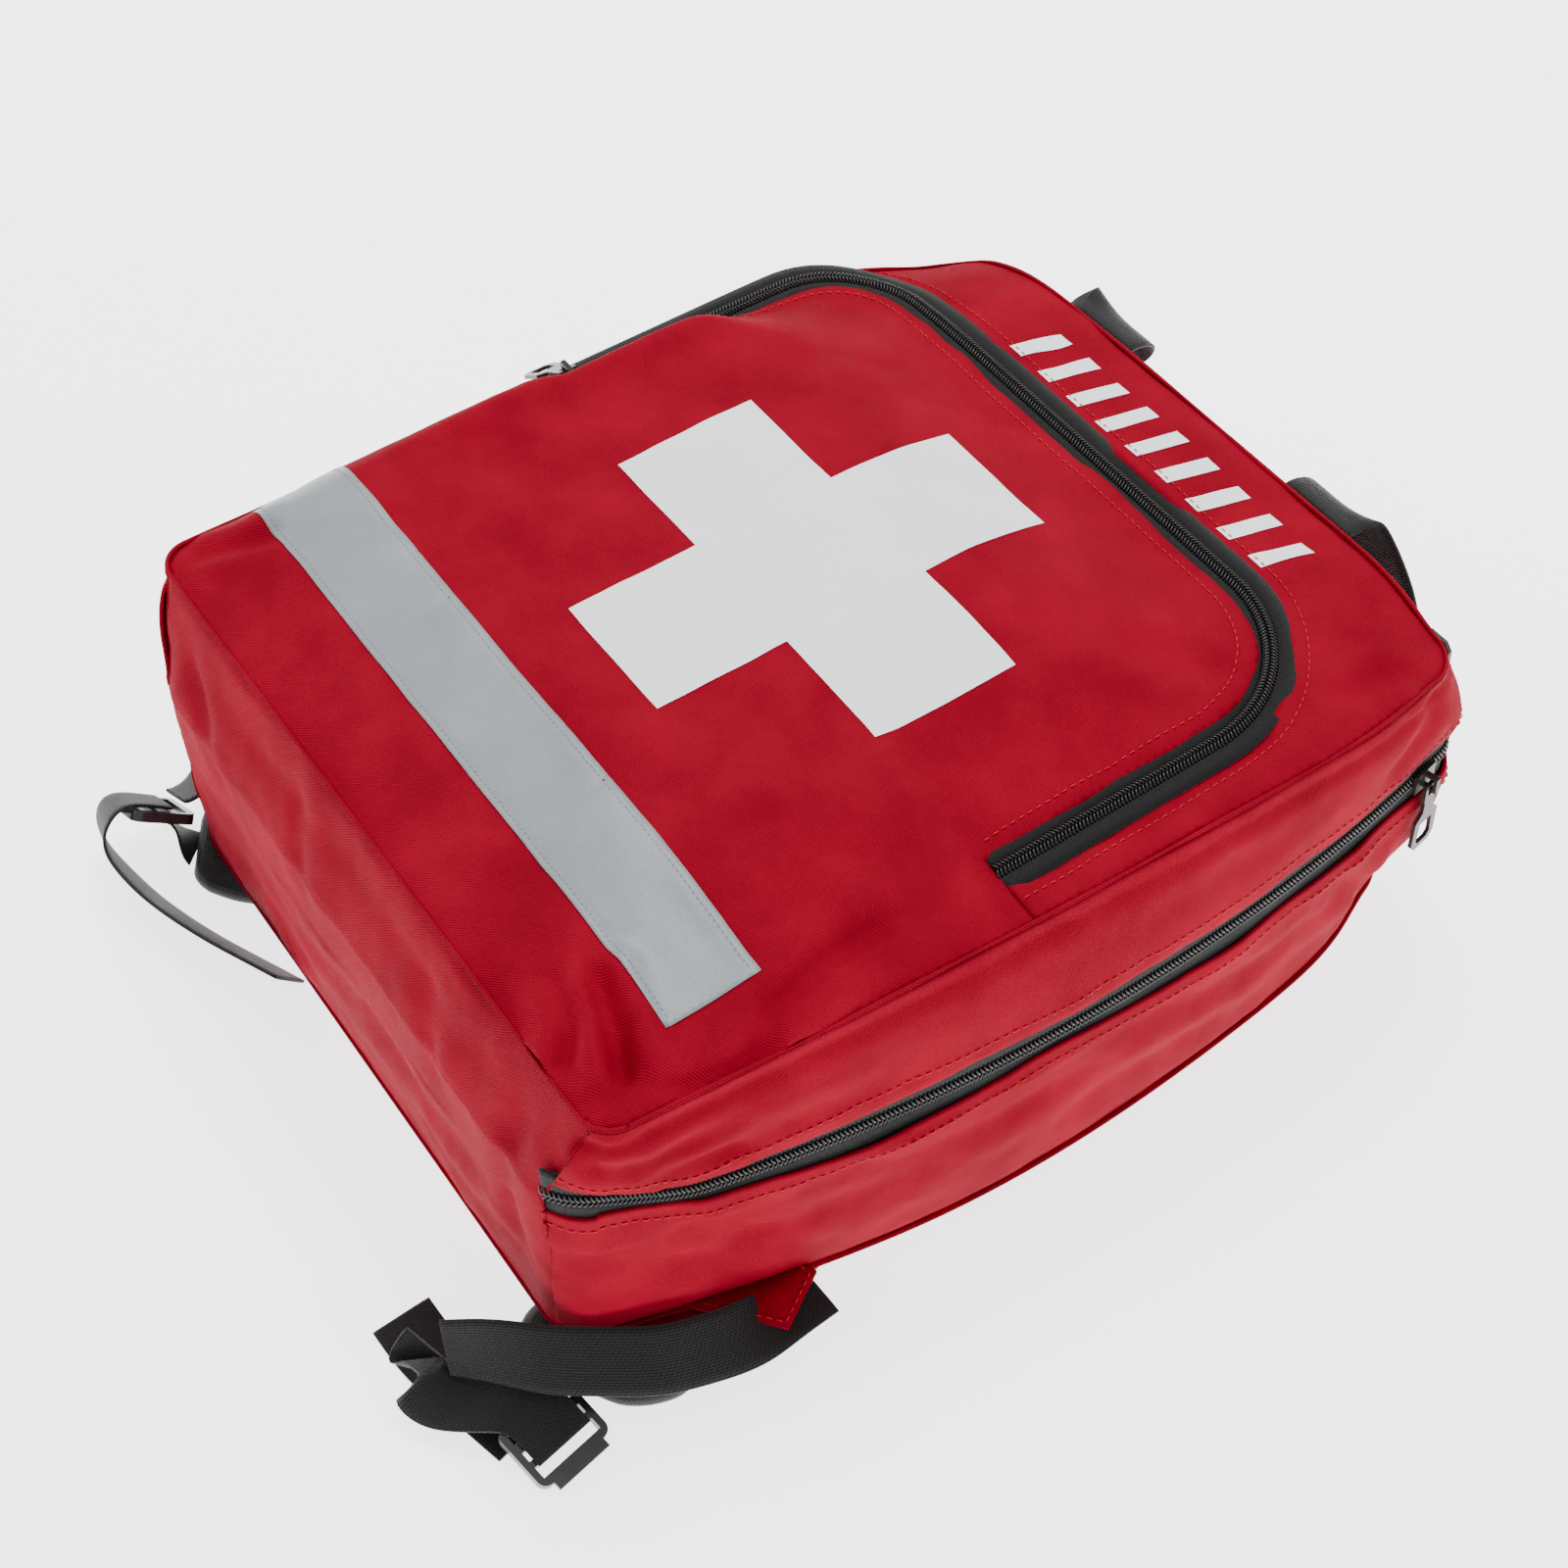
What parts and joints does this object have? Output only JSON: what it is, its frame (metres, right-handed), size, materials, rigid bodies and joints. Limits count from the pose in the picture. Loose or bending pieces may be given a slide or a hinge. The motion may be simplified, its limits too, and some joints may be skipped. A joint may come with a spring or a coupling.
{
  "type": "trauma backpack",
  "caption": "Red twill first-aid backpack lying on its straps, with a clamshell main zip, a domed front pocket with a white cross, a grey reflective strip and black webbing.",
  "frame": {"origin": "centre of the bounding box in X and Y, on the ground plane the pads lie on", "axes": "+X to the right seen from the front, +Y to the handle end, +Z out of the front panel"},
  "size_m": [0.3901, 0.4816, 0.1769],
  "materials": {
    "red_fabric": "twill weave polyester, low sheen",
    "foam": "closed-cell foam sheet",
    "black_tape": "woven zip tape",
    "black_coil": "nylon coil, semi-gloss",
    "black_binding": "ribbed binding tape",
    "black_webbing": "ribbed polypropylene webbing",
    "black_plastic": "moulded acetal, semi-gloss",
    "dark_metal": "dark painted zinc",
    "white_print": "screen printed ink",
    "reflective_grey": "glass-bead reflective tape"
  },
  "bodies": {
    "root": {"back_panel": "red_fabric", "back_foam": "foam", "rear_gusset": "red_fabric", "bottom_panel_rear": "red_fabric", "main_zip_tape_rear": "black_tape", "main_zip_coil_rear": "black_coil", "anchor_tab_left": "red_fabric", "anchor_tab_right": "red_fabric", "anchor_webbing_left": "black_webbing", "anchor_webbing_right": "black_webbing"},
    "lid": {"front_gusset": "red_fabric", "bottom_panel_front": "red_fabric", "pocket_liner": "red_fabric", "front_yoke": "red_fabric", "pocket_front_lower": "red_fabric", "reflective_strip": "reflective_grey", "cross_print_lower": "white_print", "printed_bars": "white_print", "main_zip_tape_front": "black_tape", "main_zip_coil_front": "black_coil", "pocket_zip_tape_outer": "black_tape", "pocket_zip_coil_outer": "black_coil"},
    "pocket_flap": {"pocket_front_upper": "red_fabric", "cross_print_upper": "white_print", "pocket_zip_tape_inner": "black_tape", "pocket_zip_coil_inner": "black_coil"},
    "handle": {"carry_handle": "black_webbing"},
    "slider_side": {"main_slider_side": "dark_metal"},
    "pull_side": {"main_pull_side": "dark_metal"},
    "slider_top": {"main_slider_top": "dark_metal"},
    "pull_top": {"main_pull_top": "dark_metal"},
    "slider_pocket": {"pocket_slider": "dark_metal"},
    "pull_pocket": {"pocket_pull": "dark_metal"},
    "strap_right": {"strap_pad_cover_right": "red_fabric", "strap_pad_foam_right": "foam", "strap_pad_binding_right": "black_binding", "pad_loop_right": "black_webbing", "ladder_lock_right": "black_plastic", "tail_webbing_right": "black_webbing", "tail_end_right": "black_webbing"},
    "strap_left": {"strap_pad_cover_left": "red_fabric", "strap_pad_foam_left": "foam", "strap_pad_binding_left": "black_binding", "pad_loop_left": "black_webbing", "ladder_lock_left": "black_plastic", "tail_webbing_left": "black_webbing"}
  },
  "joints": [
    {"name": "lid_hinge", "type": "hinge", "parent": "root", "child": "lid", "pos_m": [0.00948, -0.18086, 0.101], "axis": [1, 0, 0], "range_deg": [0, 165]},
    {"name": "pocket_flap_fold", "type": "hinge", "parent": "lid", "child": "pocket_flap", "pos_m": [0.00948, 0.00874, 0.1773], "axis": [1, 0, 0], "range_deg": [0, 150]},
    {"name": "carry_handle_swing", "type": "hinge", "parent": "lid", "child": "handle", "pos_m": [0.00948, 0.22354, 0.1516], "axis": [1, 0, 0], "range_deg": [0, 100]},
    {"name": "main_slider_side_travel", "type": "hinge", "parent": "root", "child": "slider_side", "pos_m": [-0.55993, 0.04094, 0.101], "axis": [0, 0, 1], "range_deg": [-26.5, 0]},
    {"name": "main_pull_side_swing", "type": "hinge", "parent": "slider_side", "child": "pull_side", "pos_m": [0.17693, 0.19891, 0.101], "axis": [0.2096, -0.9778, 0], "range_deg": [0, 165]},
    {"name": "main_slider_top_travel", "type": "slide", "parent": "root", "child": "slider_top", "axis": [-1, 0, 0], "range_m": [0, 0.235]},
    {"name": "main_pull_top_swing", "type": "hinge", "parent": "slider_top", "child": "pull_top", "pos_m": [0.14347, 0.22804, 0.101], "axis": [-1, 0, 0], "range_deg": [0, 170]},
    {"name": "pocket_slider_travel", "type": "slide", "parent": "lid", "child": "slider_pocket", "axis": [0, 1, 0], "range_m": [0, 0.095]},
    {"name": "pocket_pull_swing", "type": "hinge", "parent": "slider_pocket", "child": "pull_pocket", "pos_m": [-0.15882, 0.02094, 0.1642], "axis": [0, 1, 0], "range_deg": [0, 185]},
    {"name": "strap_right_swing", "type": "hinge", "parent": "root", "child": "strap_right", "pos_m": [0.06148, 0.21794, 0.0126], "axis": [1, 0, 0], "range_deg": [0, 25]},
    {"name": "strap_left_swing", "type": "hinge", "parent": "root", "child": "strap_left", "pos_m": [-0.04253, 0.21794, 0.0126], "axis": [1, 0, 0], "range_deg": [0, 25]}
  ]
}
